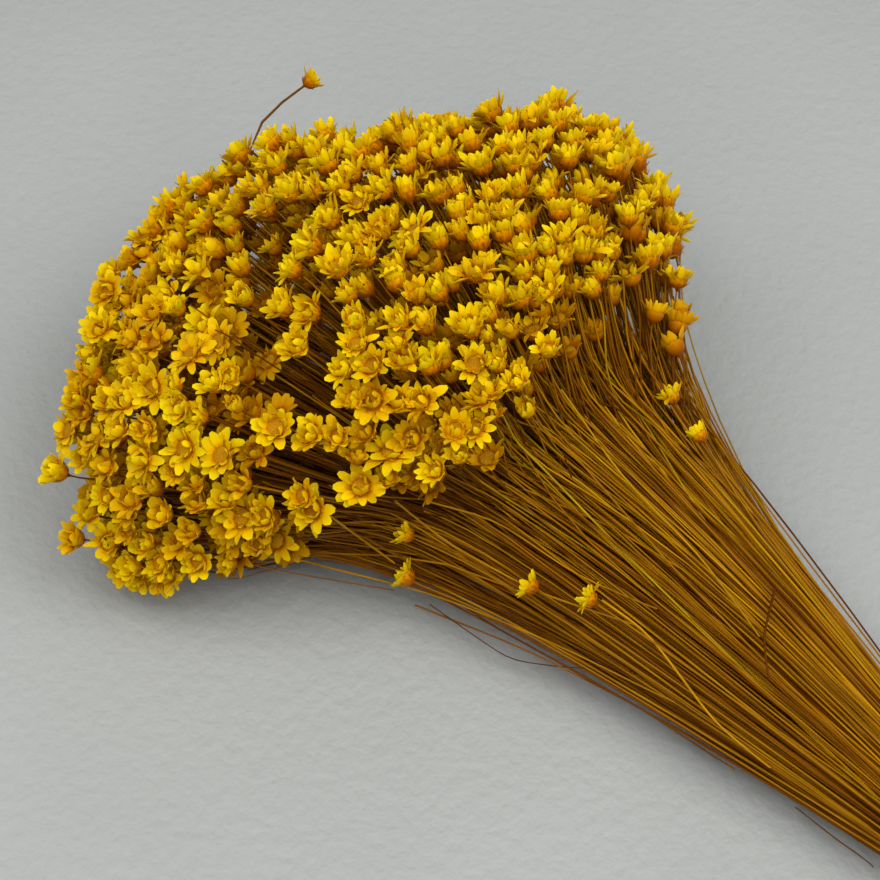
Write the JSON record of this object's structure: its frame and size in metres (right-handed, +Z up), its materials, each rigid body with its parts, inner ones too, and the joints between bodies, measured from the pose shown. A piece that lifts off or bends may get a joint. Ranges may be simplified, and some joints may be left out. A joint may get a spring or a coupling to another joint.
{
  "type": "dried flower bunch",
  "caption": "Tied bunch of small dried yellow star flowers lying on its side: a fan of thin bare stems that opens into a domed crown of papery flower heads.",
  "frame": {"origin": "middle of the bounding box's base, on the surface that the bunch lies on", "axes": "+X along the bunch from the cut stem ends to the flower heads, +Z up from the surface, +Y across"},
  "size_m": [0.33, 0.1788, 0.0989],
  "materials": {
    "dried_flower": "dry, papery, slightly translucent yellow",
    "flower_cup": "dry overlapping scales, orange to dark brown, faint sheen",
    "stem": "dry straw, golden brown, low sheen",
    "raffia_tie": "dry matte raffia fibre"
  },
  "bodies": {
    "root": {"flower_sheaf_01": "dried_flower", "flower_sheaf_02": "dried_flower", "flower_sheaf_03": "dried_flower", "flower_sheaf_04": "dried_flower", "flower_sheaf_05": "dried_flower", "flower_sheaf_06": "dried_flower", "flower_sheaf_07": "dried_flower", "flower_sheaf_08": "dried_flower", "flower_sheaf_09": "dried_flower", "flower_sheaf_10": "dried_flower", "flower_sheaf_11": "dried_flower", "flower_sheaf_12": "dried_flower", "flower_sheaf_13": "dried_flower", "flower_sheaf_14": "dried_flower", "flower_sheaf_15": "dried_flower", "flower_sheaf_16": "dried_flower", "flower_sheaf_17": "dried_flower", "flower_sheaf_18": "dried_flower", "flower_sheaf_19": "dried_flower", "flower_sheaf_20": "dried_flower", "flower_sheaf_21": "dried_flower", "flower_sheaf_22": "dried_flower", "flower_sheaf_23": "dried_flower", "flower_sheaf_24": "dried_flower", "flower_sheaf_25": "dried_flower", "flower_sheaf_26": "dried_flower", "flower_sheaf_27": "dried_flower", "flower_sheaf_28": "dried_flower", "flower_sheaf_29": "dried_flower", "flower_sheaf_30": "dried_flower", "flower_sheaf_31": "dried_flower", "flower_sheaf_32": "dried_flower", "flower_sheaf_33": "dried_flower", "flower_sheaf_34": "dried_flower", "flower_sheaf_35": "dried_flower", "flower_sheaf_36": "dried_flower", "flower_right_low": "dried_flower", "flower_right_mid": "dried_flower", "flower_right_high": "dried_flower", "flower_right_far": "dried_flower", "flower_top_right": "dried_flower", "flower_top_mid": "dried_flower", "flower_top_left": "dried_flower", "flower_left_high": "dried_flower", "flower_left_mid": "dried_flower", "flower_left_low": "dried_flower", "flower_stems_upper": "dried_flower", "flower_stems_lower": "dried_flower", "tie": "raffia_tie"}
  },
  "joints": []
}
